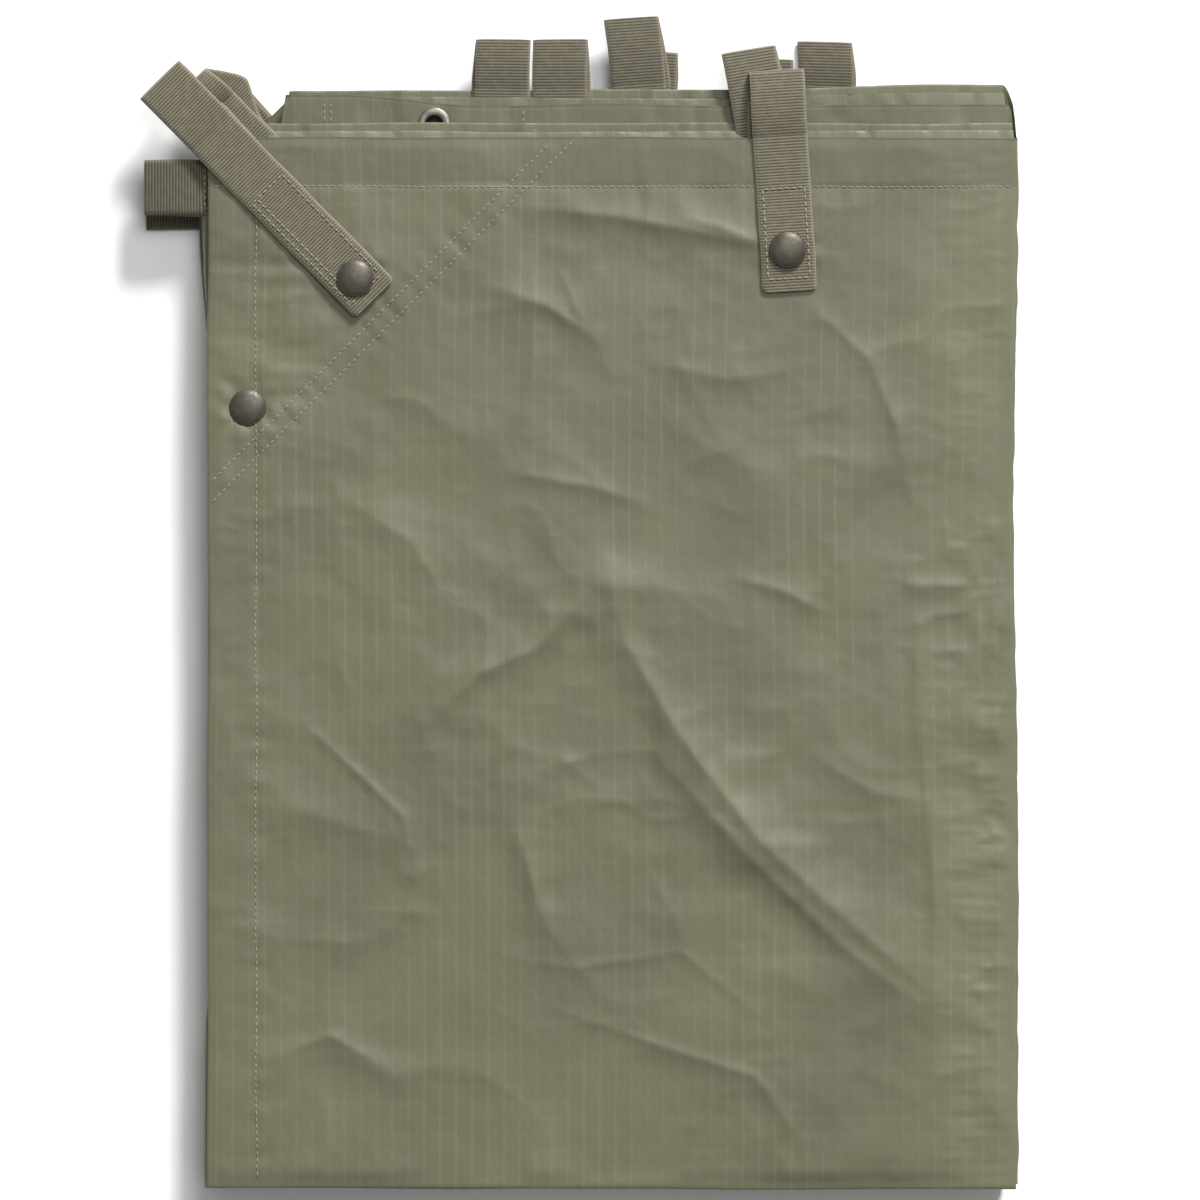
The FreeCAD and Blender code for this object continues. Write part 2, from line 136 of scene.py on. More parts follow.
def clouds(x, y, size, seed, octaves=3):
    """Noise with finer and fainter copies of itself added."""
    total = 0.0
    for octave in range(octaves):
        scale = 2 ** octave / size
        copy = lattice(x * scale + 7.1 * octave, y * scale + 3.7 * octave, seed + octave)
        total = total + copy / 2 ** octave
    return total


def creases(x, y, size, seed):
    """Sharp meandering crests, from about -1 to 0."""
    bent = 0.35 * lattice(x / size * 0.7, y / size * 0.7, seed + 5)
    return -np.abs(lattice(x / size + bent, y / size - bent, seed))


def smooth(value, start, end):
    """0 before start and 1 after end."""
    share = np.clip((value - start) / (end - start), 0, 1)
    return share * share * (3 - 2 * share)


def along_path(x, y, points):
    """The distance of each place from a line of points, and how far along the line it is, from 0 to 1."""
    best, where = np.full(np.shape(x), 1e9), np.zeros(np.shape(x))
    lengths = [math.dist(a, b) for a, b in zip(points, points[1:])]
    done, whole = 0.0, sum(lengths)
    for (ax, ay), (bx, by), length in zip(points, points[1:], lengths):
        share = np.clip(((x - ax) * (bx - ax) + (y - ay) * (by - ay)) / length ** 2, 0, 1)
        gap = np.hypot(x - ax - share * (bx - ax), y - ay - share * (by - ay))
        nearer = gap < best
        where = np.where(nearer, (done + share * length) / whole, where)
        best = np.minimum(best, gap)
        done += length
    return best, where


def node_points(name):
    """The vertices of a CAD node."""
    mesh = frame["nodes"][name].data
    points = np.empty(len(mesh.vertices) * 3)
    mesh.vertices.foreach_get("co", points)
    return points.reshape(-1, 3)


def middles(name, apart=20 * MM):
    """The middle of each separate solid of a CAD node whose solids lie well apart."""
    groups = []
    for point in node_points(name):
        for group in groups:
            if math.dist(group[0][:2], point[:2]) < apart:
                group.append(point)
                break
        else:
            groups.append([point])
    spots = []
    for group in groups:
        points = np.array(group)
        spots.append(Vector((points.min(0) + points.max(0)) / 2))
    return spots


def mesh_piece(name, points, faces, material, coords=None):
    """A mesh object from points and faces, with a place on the flat cloth for each point."""
    mesh = bpy.data.meshes.new(name)
    mesh.from_pydata([tuple(p) for p in points], [], [tuple(f) for f in faces])
    if coords is not None:
        layer = mesh.uv_layers.new(name="flat")
        corner = np.empty(len(mesh.loops), dtype=np.int32)
        mesh.loops.foreach_get("vertex_index", corner)
        layer.data.foreach_set("uv", np.asarray(coords, dtype=np.float32)[corner].ravel())
    mesh.polygons.foreach_set("use_smooth", [True] * len(mesh.polygons))
    mesh.materials.append(material)
    mesh.update()
    piece = bpy.data.objects.new(name, mesh)
    bpy.context.scene.collection.objects.link(piece)
    return piece


def grid_faces(rows, columns, skip=None, closed=False):
    """The faces of a grid of points, row by row; closed joins the last column to the first."""
    faces = []
    for row in range(rows - 1):
        for column in range(columns if closed else columns - 1):
            if skip is not None and skip[row, column]:
                continue
            beside = (column + 1) % columns
            start, above = row * columns, (row + 1) * columns
            faces.append((start + column, start + beside, above + beside, above + column))
    return faces


# ---------------------------------------------------------------- materials

class Shader:
    """A material's node tree, with a short way to add nodes to it."""

    def __init__(self, name):
        self.material = bpy.data.materials.new(name)
        self.material.use_nodes = True
        self.tree = self.material.node_tree
        self.skin = self.tree.nodes["Principled BSDF"]

    def add(self, kind, inputs=(), **settings):
        """Add a node, set its properties, and join or set its inputs in order."""
        made = self.tree.nodes.new(kind)
        for key, value in settings.items():
            setattr(made, key, value)
        pairs = inputs.items() if isinstance(inputs, dict) else enumerate(inputs)
        for key, value in pairs:
            if isinstance(value, bpy.types.NodeSocket):
                self.tree.links.new(value, made.inputs[key])
            else:
                made.inputs[key].default_value = value
        return made

    def sums(self, operation, *values):
        """The result of a Math node."""
        return self.add("ShaderNodeMath", values, operation=operation).outputs[0]

    def wave(self, value, pitch, phase=0.0):
        """A sine wave of a length from 0 to 1."""
        turn = self.sums("MULTIPLY_ADD", value, 2 * math.pi / pitch, phase)
        return self.sums("MULTIPLY_ADD", self.sums("SINE", turn), 0.5, 0.5)

    def flat(self):
        """The two lengths across and along the flat cloth."""
        spot = self.add("ShaderNodeUVMap", uv_map="flat").outputs[0]
        split = self.add("ShaderNodeSeparateXYZ", [spot])
        return spot, split.outputs[0], split.outputs[1]

    def noise(self, spot, scale, detail=3.0, stretch=(1, 1, 1)):
        """Noise of about one feature per 1/scale metres."""
        moved = self.add("ShaderNodeVectorMath", [spot, stretch], operation="MULTIPLY").outputs[0]
        made = self.add("ShaderNodeTexNoise", {"Vector": moved, "Scale": scale, "Detail": detail})
        return made.outputs["Fac"]

    def ramp(self, value, low, high, start, end):
        """A value carried from the range low to high to the range start to end."""
        return self.add("ShaderNodeMapRange", [value, low, high, start, end]).outputs[0]

    def blend(self, share, low, high):
        """A colour between two."""
        return self.add("ShaderNodeMix", {0: share, 6: low, 7: high}, data_type="RGBA").outputs[2]

    def colour(self, socket):
        """Use a colour as the skin's base."""
        self.tree.links.new(socket, self.skin.inputs["Base Color"])

    def bump(self, height, distance, strength=1.0, under=None):
        """Add relief, over any relief already there."""
        made = self.add("ShaderNodeBump", {"Height": height, "Distance": distance, "Strength": strength})
        if under is not None:
            self.tree.links.new(under, made.inputs["Normal"])
        self.tree.links.new(made.outputs[0], self.skin.inputs["Normal"])
        return made.outputs[0]

    def set(self, **values):
        """Set the skin's plain values."""
        for key, value in values.items():
            self.skin.inputs[key.replace("_", " ")].default_value = value


def tone(red, green, blue):
    """A colour from 0 to 255 values as they show on a screen."""
    return (*(((v / 255 + 0.055) / 1.055) ** 2.4 for v in (red, green, blue)), 1.0)


def cloth_material():
    """Thin olive ripstop with a coating: thicker threads in a grid, a fine weave, creases, painted sheen and
    painted shade.
    """
    shade = Shader("ripstop_cloth")
    spot, across, along = shade.flat()
    broad = shade.noise(spot, 14.0, 2.0)
    mottle = shade.noise(spot, 70.0, 4.0)
    threads_up = shade.sums("POWER", shade.wave(across, RIPSTOP_PITCH), 14.0)
    threads_over = shade.sums("POWER", shade.wave(along, RIPSTOP_PITCH), 14.0)
    patchy = shade.ramp(shade.noise(spot, 22.0, 2.0, (1.0, 0.35, 1.0)), 0.35, 0.65, 0.15, 1.0)
    up = shade.sums("MULTIPLY", threads_up, patchy)
    over = shade.sums("MULTIPLY", threads_over, 0.2)
    grid = shade.sums("MAXIMUM", up, over)
    deep, plain, pale = tone(88, 88, 67), tone(99, 98, 76), tone(122, 121, 97)
    base = shade.blend(shade.ramp(broad, 0.3, 0.7, 0.0, 1.0), deep, plain)
    base = shade.blend(shade.sums("MULTIPLY", mottle, 0.35), base, plain)
    # painted sheen: the cloth turns paler towards its right side, where it catches the light
    painted_sheen = shade.ramp(across, 128 * MM, 160 * MM, 0.0, 0.22)
    base = shade.blend(painted_sheen, base, pale)
    base = shade.blend(shade.sums("MULTIPLY", grid, 0.3), base, pale)
    # painted shade: the hem band is darkened, and a dark line runs along the sheet's top edge, where shade
    # falls on the layer behind
    hem = shade.sums("LESS_THAN", along, 2 * HEM_DEPTH + 0.6 * MM)
    base = shade.blend(shade.sums("MULTIPLY", hem, 0.3), base, tone(70, 69, 54))
    painted_edge_shade = shade.sums("COMPARE", along, HEM_DEPTH + 0.7 * MM, 0.8 * MM)
    base = shade.blend(shade.sums("MULTIPLY", painted_edge_shade, 0.55), base, tone(52, 51, 40))
    shade.colour(base)
    weave = shade.sums("MULTIPLY", shade.wave(across, WEAVE_PITCH), shade.wave(along, WEAVE_PITCH))
    relief = shade.bump(weave, 0.03 * MM, 0.35)
    relief = shade.bump(grid, 0.05 * MM, 0.5, relief)
    crumple = shade.noise(spot, 160.0, 5.0, (1.0, 0.55, 1.0))
    relief = shade.bump(crumple, 0.7 * MM, 0.35, relief)
    gloss = shade.ramp(mottle, 0.3, 0.7, 0.42, 0.56)
    shade.tree.links.new(gloss, shade.skin.inputs["Roughness"])
    shade.set(Sheen_Weight=0.12, Sheen_Roughness=0.5, Specular_IOR_Level=0.45)
    return shade.material


def webbing_material(name, light_share):
    """Khaki webbing: painted shade in the grooves between the ribs, pale threads over them, pale selvedges.
    """
    shade = Shader(name)
    spot, across, along = shade.flat()
    rib = shade.wave(along, RIB_PITCH, -math.pi / 2)
    warp = shade.wave(across, 0.8 * MM)
    stagger = shade.wave(shade.sums("ADD", along, shade.sums("MULTIPLY", across, 1.6)), RIB_PITCH * 2)
    tones = ((50, 46, 35), (114, 108, 88), (146, 138, 115))
    # the light share scales every tone: the low shares paint shade on the loops behind and at the side
    dark, mid, light = (tone(*(value * light_share for value in colour)) for colour in tones)
    # painted shade: the grooves between the ribs take the dark tone
    base = shade.blend(shade.sums("POWER", rib, 0.7), dark, mid)
    weft = shade.sums("MULTIPLY", shade.sums("MULTIPLY", warp, stagger), rib)
    base = shade.blend(shade.sums("MULTIPLY", weft, 0.6), base, light)
    worn = shade.noise(spot, 260.0, 4.0)
    base = shade.blend(shade.ramp(worn, 0.45, 0.75, 0.0, 0.2), base, light)
    edge = shade.ramp(shade.sums("ABSOLUTE", across), 11.2 * MM, 12.2 * MM, 0.0, 0.5)
    base = shade.blend(edge, base, light)
    shade.colour(base)
    relief = shade.bump(weft, 0.18 * MM, 0.7)
    shade.bump(worn, 0.2 * MM, 0.4, relief)
    shade.set(Roughness=0.82, Sheen_Weight=0.25, Sheen_Roughness=0.6, Specular_IOR_Level=0.25)
    return shade.material


def thread_material():
    """Pale olive sewing thread."""
    shade = Shader("sewing_thread")
    spot = shade.add("ShaderNodeTexCoord").outputs["Object"]
    fleck = shade.noise(spot, 900.0, 2.0)
    shade.colour(shade.blend(fleck, tone(124, 121, 98), tone(150, 146, 122)))
    shade.bump(fleck, 0.1 * MM, 0.6)
    shade.set(Roughness=0.7, Sheen_Weight=0.2)
    return shade.material


def metal_material(name, low, high, rough, metallic, scratch=0.3):
    """Metal with a blotchy finish and fine scuffs."""
    shade = Shader(name)
    spot = shade.add("ShaderNodeTexCoord").outputs["Object"]
    blotch = shade.noise(spot, 420.0, 3.0)
    shade.colour(shade.blend(shade.ramp(blotch, 0.35, 0.65, 0.0, 1.0), low, high))
    scuff = shade.noise(spot, 1500.0, 4.0, (1.0, 0.25, 1.0))
    shade.bump(scuff, 0.05 * MM, scratch)
    gloss = shade.ramp(scuff, 0.3, 0.7, rough - 0.08, rough + 0.12)
    shade.tree.links.new(gloss, shade.skin.inputs["Roughness"])
    shade.set(Metallic=metallic)
    return shade.material


CLOTH = cloth_material()
WEBBING = webbing_material("khaki_webbing", 0.97)
# darker copies of the webbing, as painted shade, for the loops behind the front and the loops at the side
WEBBING_SHADED_BEHIND = webbing_material("khaki_webbing_painted_shade_behind", 0.9)
WEBBING_SHADED_SIDE = webbing_material("khaki_webbing_painted_shade_side", 0.78)
THREAD = thread_material()
CAP_METAL = metal_material("dark_bronze", tone(80, 76, 67), tone(90, 86, 77), 0.46, 0.75, 0.08)
INNER_METAL = metal_material("oxidised_brass", tone(118, 104, 74), tone(142, 126, 92), 0.45, 0.9)
WIRE_METAL = metal_material("spring_wire", tone(150, 150, 148), tone(172, 172, 170), 0.35, 1.0)
EYELET_METAL = metal_material("dull_nickel", tone(112, 111, 104), tone(136, 135, 127), 0.42, 1.0, 0.1)


# ---------------------------------------------------------------- the shape of the front

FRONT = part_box("panel_1_front_leaf")
PACK_LEFT, PACK_RIGHT = FRONT[0].x, FRONT[1].x
PACK_BOTTOM, FRONT_TOP = FRONT[0].y, FRONT[1].y
FRONT_FACE = FRONT[1].z
CAPS = middles("stud_caps")
PATCH_LEG = FRONT_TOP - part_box("head_corner_patch_1")[0].y

# each long fold or crease of the front: its line, how wide and how high it stands, all in millimetres
# from the pack's middle, which is the frame's origin
FOLDS = [
    ([(-7, 46), (4, 0), (28, -42), (66, -92), (110, -132), (143, -160)], 14.0, 2.1),
    ([(18, -52), (60, -98), (104, -140), (138, -166)], 5.0, 0.9),
    ([(-86, -38), (-62, -16), (-36, -4), (-8, 26)], 7.0, 1.3),
    ([(-40, -62), (-8, -52), (22, -50)], 6.0, 0.8),
    ([(-36, 196), (2, 192), (38, 185), (70, 178)], 6.5, 1.5),
    ([(30, 192), (48, 187), (68, 179)], 3.0, 1.0),
    ([(-56, 160), (-30, 151), (-10, 137)], 6.0, 1.1),
    ([(-25, 168), (-18, 152), (-11, 136)], 1.3, 0.4),
    ([(-48, 76), (-10, 69), (18, 60)], 5.0, 0.9),
    ([(20, 125), (52, 118), (78, 122)], 6.0, 0.7),
    ([(55, 28), (76, 22), (96, 12)], 5.0, 0.8),
    ([(-142, -38), (-118, -60), (-97, -80), (-93, -98)], 2.0, 0.7),
    ([(-46, -84), (-38, -108), (-30, -134)], 6.0, 0.8),
    ([(-28, -168), (20, -185), (64, -199), (86, -230)], 2.4, 0.6),
    ([(-158, -192), (-130, -180), (-100, -198)], 8.0, 1.1),
    ([(88, 152), (116, 127), (130, 92), (136, 54)], 3.0, 0.6),
    ([(-120, 62), (-92, 44), (-80, 22)], 7.0, 0.7),
    ([(-60, -142), (-20, -150), (30, -142), (64, -170)], 2.2, 0.45),
    ([(92, -54), (118, -70), (140, -74)], 6.0, 0.7),
    ([(140, 60), (137, 20), (139, -40), (146, -120), (147, -200)], 4.0, 0.6),
]

# patches of small crumples: centre, radii across and up, height, size of a crumple, in millimetres likewise
CRUMPLES = [
    ((150, 30), (24, 46), 1.5, 17.0),
    ((-174, 10), (12, 110), 0.9, 14.0),
    ((-20, -40), (70, 70), 0.8, 30.0),
    ((172, -60), (14, 150), 0.8, 13.0),
    ((-150, 170), (40, 40), 0.7, 16.0),
    ((-90, -150), (80, 60), 0.5, 26.0),
]


def patch_seam(x, y, out):
    """How far a place lies outside the corner patch's slanting seam, moved out by a distance."""
    return ((x - PACK_LEFT) + (FRONT_TOP - y) - PATCH_LEG - out) / math.sqrt(2)


def front_height(x, y):
    """How far the front layer stands above its flat place, in metres."""
    mx, my = x / MM, y / MM
    high = 1.0 * clouds(mx, my, 95.0, 3) + 0.3 * clouds(mx, my, 30.0, 8) + 1.4 * creases(mx, my, 60.0, 21)
    high = high + 0.55 * creases(mx, my, 23.0, 25) + 0.14 * creases(mx, my, 8.0, 26)
    for line, width, height in FOLDS:
        gap, share = along_path(mx, my, line)
        wander = 1 + 0.35 * lattice(mx / 14.0, my / 14.0, 31)
        taper = np.sin(np.pi * np.clip(share, 0.04, 0.96)) ** 0.6
        high = high + 2.0 * height * taper * np.exp(-np.hypot(gap, 0.8) / (width * wander))
    for (cx, cy), (rx, ry), height, size in CRUMPLES:
        inside = np.exp(-((mx - cx) / rx) ** 2 - ((my - cy) / ry) ** 2)
        crumple = creases(mx, my, size, int(size)) + 0.5 * creases(mx, my, size / 2.1, 41)
        high = high + height * inside * crumple
    right = smooth(mx + 5.0 * lattice(my / 20.0, mx * 0, 58), 130.0, 160.0)
    uneven = 0.3 + 0.7 * smooth(lattice(mx / 20.0, my / 42.0, 57), -0.4, 0.5)
    pucker = 0.17 * lattice(mx / 22.0, my / 3.1, 51) + 0.10 * lattice(mx / 10.0, my / 1.9, 52)
    high = high + right * uneven * pucker
    left = 1 - smooth(mx, -176.0, -150.0)
    upper = smooth(my, 70.0, 110.0) * (1 - smooth(mx, -150.0, -118.0))
    high = high + (0.28 * left + 0.45 * upper) * lattice(mx / 24.0, my / 5.5, 53)
    hem_line, side_line = (FRONT_TOP - HEM_DEPTH) / MM, (PACK_LEFT + HEM_DEPTH) / MM
    near_hem = np.exp(-((my - hem_line + 5.0) / 9.0) ** 2)
    near_side = np.exp(-((mx - side_line) / 7.0) ** 2)
    high = high + 0.22 * near_hem * lattice(mx / 6.0, my / 22.0, 54)
    high = high + 0.25 * near_side * lattice(mx / 18.0, my / 5.0, 55)
    for out in (0.0, PATCH_SEAM_GAP):
        seam = patch_seam(x, y, out) / MM
        run = ((x - PACK_LEFT) - (FRONT_TOP - y)) / MM
        inside = smooth(-mx, -PACK_RIGHT / MM, -30.0) * smooth(my, 40.0, 60.0)
        pucker = 0.26 * lattice(run / 5.0, seam / 16.0, 56) - 0.25
        high = high + inside * np.exp(-(seam / 3.5) ** 2) * pucker
    high = high + 0.25 * smooth(-patch_seam(x, y, PATCH_SEAM_GAP) / MM, 0.0, 1.0)
    # the deepest hollows are rounded off, so that the layer behind never shows through
    high = 0.45 * np.logaddexp(0.0, (high + 1.9) / 0.45) - 0.5
    top_hem = smooth(my, hem_line - 0.4, hem_line + 0.6)
    side_hem = 1 - smooth(mx, side_line - 0.6, side_line + 0.4)
    hem = np.maximum(top_hem, side_hem)
    high = high * (1 - 0.45 * hem) + HEM_STEP / MM * hem
    high = high - 0.15 * np.exp(-((my - hem_line) / 0.8) ** 2) - 0.15 * np.exp(-((mx - side_line) / 0.8) ** 2)
    for cap in CAPS:
        gap = np.hypot(x - cap.x, y - cap.y) / MM
        angle = np.arctan2(y - cap.y, x - cap.x)
        ring = np.exp(-((gap - 12.5) / 4.0) ** 2)
        high = high - 0.7 * np.exp(-(gap / 9.0) ** 2) + ring * (0.2 + 0.3 * np.cos(7 * angle + cap.x * 900))
        high = np.where(gap < 9.0, high * 0.5, high)
    edges = smooth(PACK_RIGHT - SIDE_BULGE - x, 0.0, 9 * MM) * smooth(y - PACK_BOTTOM, 0.0, 9 * MM)
    edges = edges * (0.5 + 0.5 * smooth(x - PACK_LEFT, 0.0, 6 * MM))
    edges = edges * (0.6 + 0.4 * smooth(FRONT_TOP - y, 0.0, 5 * MM))
    return high * MM * edges


# ---------------------------------------------------------------- the panels' cloth

class Layer:
    """One of a panel's four layers of cloth: its outline, and its height at each place."""

    def __init__(self, panel, number):
        self.panel, self.number = panel, number
        half = "front" if number < 2 else "back"
        self.low, self.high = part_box(f"panel_{panel}_{half}_leaf")
        points = node_points(f"panel_{panel}_{half}_leaf")
        self.facing = 1 if number % 2 == 0 else -1
        top_row = points[points[:, 1] > self.high.y - 0.1 * MM]
        self.corner = top_row[:, 0].min() - PACK_LEFT
        self.seed = 100 + 10 * panel + number
        self.is_front = panel == 1 and number == 0

    def top(self, x):
        """The height up the pack of the layer's upper edge."""
        mx = x / MM
        edge = self.high.y + 0.5 * MM * lattice(mx / 45.0, mx * 0 + self.number, self.seed)
        if self.number in (1, 2):
            edge = edge - 3.5 * MM
        if self.panel == 2 and self.number == 0:
            edge = edge + 4.6 * MM * (1 - smooth(mx, -118.0, -62.0))
        if self.panel != 1 and self.number in (2, 3):
            edge = edge + 2.4 * MM * smooth(mx, 60.0, 150.0)
        if self.is_front:
            return edge
        if self.panel == 4:
            return edge - np.maximum(0.0, PACK_LEFT + CORNER_WIDTH - x)
        corner = max(self.corner, CORNER_WIDTH) if self.panel == 3 else self.corner
        return edge - CORNER_DROP * (1 - smooth(x - PACK_LEFT - corner, -3.5 * MM, 0.5 * MM))

    def left(self, y):
        """The left edge: a hem on the outer panels, and the start of a fold on the inner ones."""
        my = y / MM
        shift = 0.5 * lattice(my / 60.0, my * 0 + 2, self.seed)
        if self.is_front:
            return PACK_LEFT + shift * MM
        upper = smooth(my, 118.0, 187.0)
        lower = 1 - smooth(my, -185.0, -160.0)
        inner = SIDE_BULGE if self.panel in (2, 3) else 0.0
        out = (PACK_LEFT - self.low.x) * upper + (1.3 * lower + 0.6 * shift) * MM
        return PACK_LEFT - out + inner

    def right(self, y):
        """The right edge, where each fold between panels starts."""
        my = y / MM
        waist = 2.0 * np.exp(-((my - 60.0) / 90.0) ** 2) + 0.35 * lattice(my / 11.0, my * 0, 61)
        return np.minimum(self.high.x, PACK_RIGHT) - SIDE_BULGE - waist * MM

    def depth(self, x, y):
        """The height through the pack of each place on the layer."""
        if self.is_front:
            return self.high.z - FRONT_SINK + front_height(x, y)
        sink = STRAP_SINK if self.panel == 1 and self.number == 2 else CLOTH_SINK
        base = self.high.z - sink if self.facing > 0 else self.low.z + CLOTH_SINK
        mx, my = x / MM, y / MM
        away = smooth(self.high.y - y, 20 * MM, 90 * MM)
        puff = (0.75 * away + 0.3 * clouds(mx, my, 60.0, self.seed, 2) * (0.3 + away)) * MM
        strip = smooth(y, self.high.y - 30 * MM, self.high.y - 12 * MM)
        ruffle = lattice(mx / 6.0, my / 12.0, self.seed + 1) + creases(mx, my, 26.0, self.seed + 2)
        puff = puff + 0.9 * MM * strip * ruffle
        outmost = 0.45 * MM if self.panel == 4 and self.number == 3 else -0.35 * MM
        return base - self.facing * np.clip(puff, outmost, 0.9 * MM)


def spread(start, end, step, fine_at=None):
    """Steps from start to end, closer together near fine_at."""
    count = max(2, int(abs(end - start) / step) + 1)
    share = np.linspace(0, 1, count)
    if fine_at == "start":
        share = share ** 1.6
    if fine_at == "end":
        share = 1 - (1 - share) ** 1.6
    return start + (end - start) * share


def cloth_rows(layers, step):
    """The rows of a panel's sheet, from its head hem to its foot hem: layer, next layer, how far up, turn."""
    head, _, _, foot = layers
    length = head.high.y - PACK_BOTTOM
    rows = [("hem", head, back) for back in (HEM_DEPTH, 12 * MM, 6 * MM, 2.5 * MM, 0.8 * MM)]
    rows += [("edge", head, turn) for turn in (150, 90, 30)]
    rows += [("flat", head, share) for share in spread(1.0, 0.0, step[0] / length)]
    for number in range(1, LAYERS_PER_PANEL):
        layer, before = layers[number], layers[number - 1]
        at_bottom = number % 2 == 1
        rows += [("turn", (before, layer, at_bottom), turn) for turn in (30, 60, 90, 120, 150)]
        ends, fine_at = ((0.0, 1.0), "end") if at_bottom else ((1.0, 0.0), "start")
        rows += [("flat", layer, share) for share in spread(*ends, step[1] / length, fine_at)]
    rows += [("edge", foot, turn) for turn in (30, 90, 150)]
    rows += [("hem", foot, back) for back in (0.8 * MM, 2.5 * MM, 6 * MM, 12 * MM, HEM_DEPTH)]
    return rows


def row_points(kind, what, value, across):
    """One row of a panel's sheet: a point for each share of the way across."""
    if kind == "turn":
        before, after, at_bottom = what
        angle = math.radians(value)
        ends = [row_points("flat", layer, 0.0 if at_bottom else 1.0, across) for layer in (before, after)]
        share = (1 - math.cos(angle)) / 2
        x, y, z = (a * (1 - share) + b * share for a, b in zip(*ends))
        reach = (BOTTOM_BULGE if at_bottom else 0.8 * MM) * math.sin(angle)
        return x, y + (-reach if at_bottom else reach), z
    middle = what.left(np.zeros(1)) + across * (what.right(np.zeros(1)) - what.left(np.zeros(1)))
    top = what.top(middle)
    floor = PACK_BOTTOM + BOTTOM_BULGE + 0.6 * MM * lattice(middle / MM / 70.0, middle * 0 + what.panel, 77)
    if kind == "flat":
        y = floor + value * (top - floor)
        x = what.left(y) + across * (what.right(y) - what.left(y))
        return x, y, what.depth(x, y)
    y = top - (value if kind == "hem" else 0.0)
    x = what.left(y) + across * (what.right(y) - what.left(y))
    z = what.depth(x, top)
    if kind == "hem":
        return x, y, z - what.facing * 2 * HEM_EDGE
    angle = math.radians(value)
    return x, y + HEM_EDGE * math.sin(angle), z - what.facing * HEM_EDGE * (1 - math.cos(angle))


def make_panel_cloth(panel, step, holes=()):
    """A panel's sheet: four layers joined by three folds, two end hems, and a side hem on an outer panel.

    The step is a pair: one across the sheet and along its first layer, and one along the other layers.
    """
    layers = [Layer(panel, number) for number in range(LAYERS_PER_PANEL)]
    width = PACK_RIGHT - PACK_LEFT
    across = np.linspace(0, 1, int(width / step[0]) + 1)
    rows = cloth_rows(layers, step)
    grid = np.array([np.stack(row_points(*row, across), axis=1) for row in rows])
    columns_at = across * width + PACK_LEFT
    if panel in (1, 4):
        toward = np.gradient(grid, axis=0)
        flow = toward / np.maximum(np.linalg.norm(toward, axis=2, keepdims=True), 1e-9)
        inward = np.stack([flow[:, 0, 2] * 0, -flow[:, 0, 2], flow[:, 0, 1]], axis=1)
        hidden = []
        for back, sunk in ((HEM_DEPTH, 2.0), (10 * MM, 2.0), (2.5 * MM, 2.0), (0.5 * MM, 1.85)):
            column = np.argmin(np.abs(across * width - back))
            place = grid[:, column] if back > 1.5 * MM else grid[:, 0]
            hidden.append(place + inward * HEM_EDGE * sunk)
        hidden.append(grid[:, 0] + inward * HEM_EDGE - np.array([HEM_EDGE, 0, 0]))
        grid = np.concatenate([np.stack(hidden, axis=1), grid], axis=1)
        backs = [HEM_DEPTH, 10 * MM, 2.5 * MM, 0.5 * MM, 0.0]
        columns_at = np.concatenate([PACK_LEFT - np.array(backs), columns_at])
    steps = np.linalg.norm(np.diff(grid, axis=0), axis=2).mean(axis=1)
    lengths = np.concatenate([[0.0], np.cumsum(steps)])
    coords = np.stack(np.meshgrid(columns_at, lengths), axis=2)
    skip = np.zeros(grid.shape[:2], dtype=bool)
    centre = (grid[:-1, :-1] + grid[1:, 1:]) / 2
    for spot, radius, low, high in holes:
        gap = np.hypot(centre[..., 0] - spot.x, centre[..., 1] - spot.y)
        at_height = (centre[..., 2] > low) & (centre[..., 2] < high)
        skip[:-1, :-1] |= (gap < radius) & at_height
    faces = grid_faces(*grid.shape[:2], skip)
    piece = mesh_piece(f"panel_{panel}_cloth", grid.reshape(-1, 3), faces, CLOTH, coords.reshape(-1, 2))
    return piece, layers, (width + (HEM_DEPTH if panel in (1, 4) else 0), lengths[-1])


def make_side_fold(name, upper, lower, side, bulge):
    """The cloth that joins a layer of one panel to a layer of the next, round the side of the pack."""
    up = np.linspace(0, 1, 160)
    turns = np.linspace(0, np.pi, 13)
    ends = []
    for layer in (upper, lower):
        middle = np.full(1, layer.right(np.zeros(1))[0] if side > 0 else layer.left(np.zeros(1))[0])
        top = layer.top(middle)[0]
        y = PACK_BOTTOM + BOTTOM_BULGE + up * (top - PACK_BOTTOM - BOTTOM_BULGE)
        x = layer.right(y) if side > 0 else layer.left(y)
        ends.append(np.stack([x, y, layer.depth(x, y)], axis=1))
    ripple = 1 + 0.10 * lattice(up * 60, up * 0, 71) + 0.06 * lattice(up * 170, up * 0, 72)
    grid = []
    for turn in turns:
        share = (1 - math.cos(turn)) / 2
        spots = ends[0] * (1 - share) + ends[1] * share
        settled = smooth(share, 0.3, 0.6)
        spots[:, 1] = ends[0][:, 1] * (1 - settled) + spots[:, 1] * settled
        spots[:, 0] += side * bulge * math.sin(turn) * ripple
        grid.append(spots)
    grid = np.array(grid)
    steps = np.linalg.norm(np.diff(grid, axis=0), axis=2).mean(axis=1)
    across = ends[0][:, 0].mean() + side * np.concatenate([[0.0], np.cumsum(steps)])
    coords = np.stack(np.broadcast_arrays(across[:, None], up[None, :] * 0.48 + 3 * HEM_DEPTH), axis=2)
    piece = mesh_piece(name, grid.reshape(-1, 3), grid_faces(*grid.shape[:2]), CLOTH, coords.reshape(-1, 2))
    return piece, ends[0][:, 2].mean(), ends[1][:, 2].mean()


# ---------------------------------------------------------------- webbing

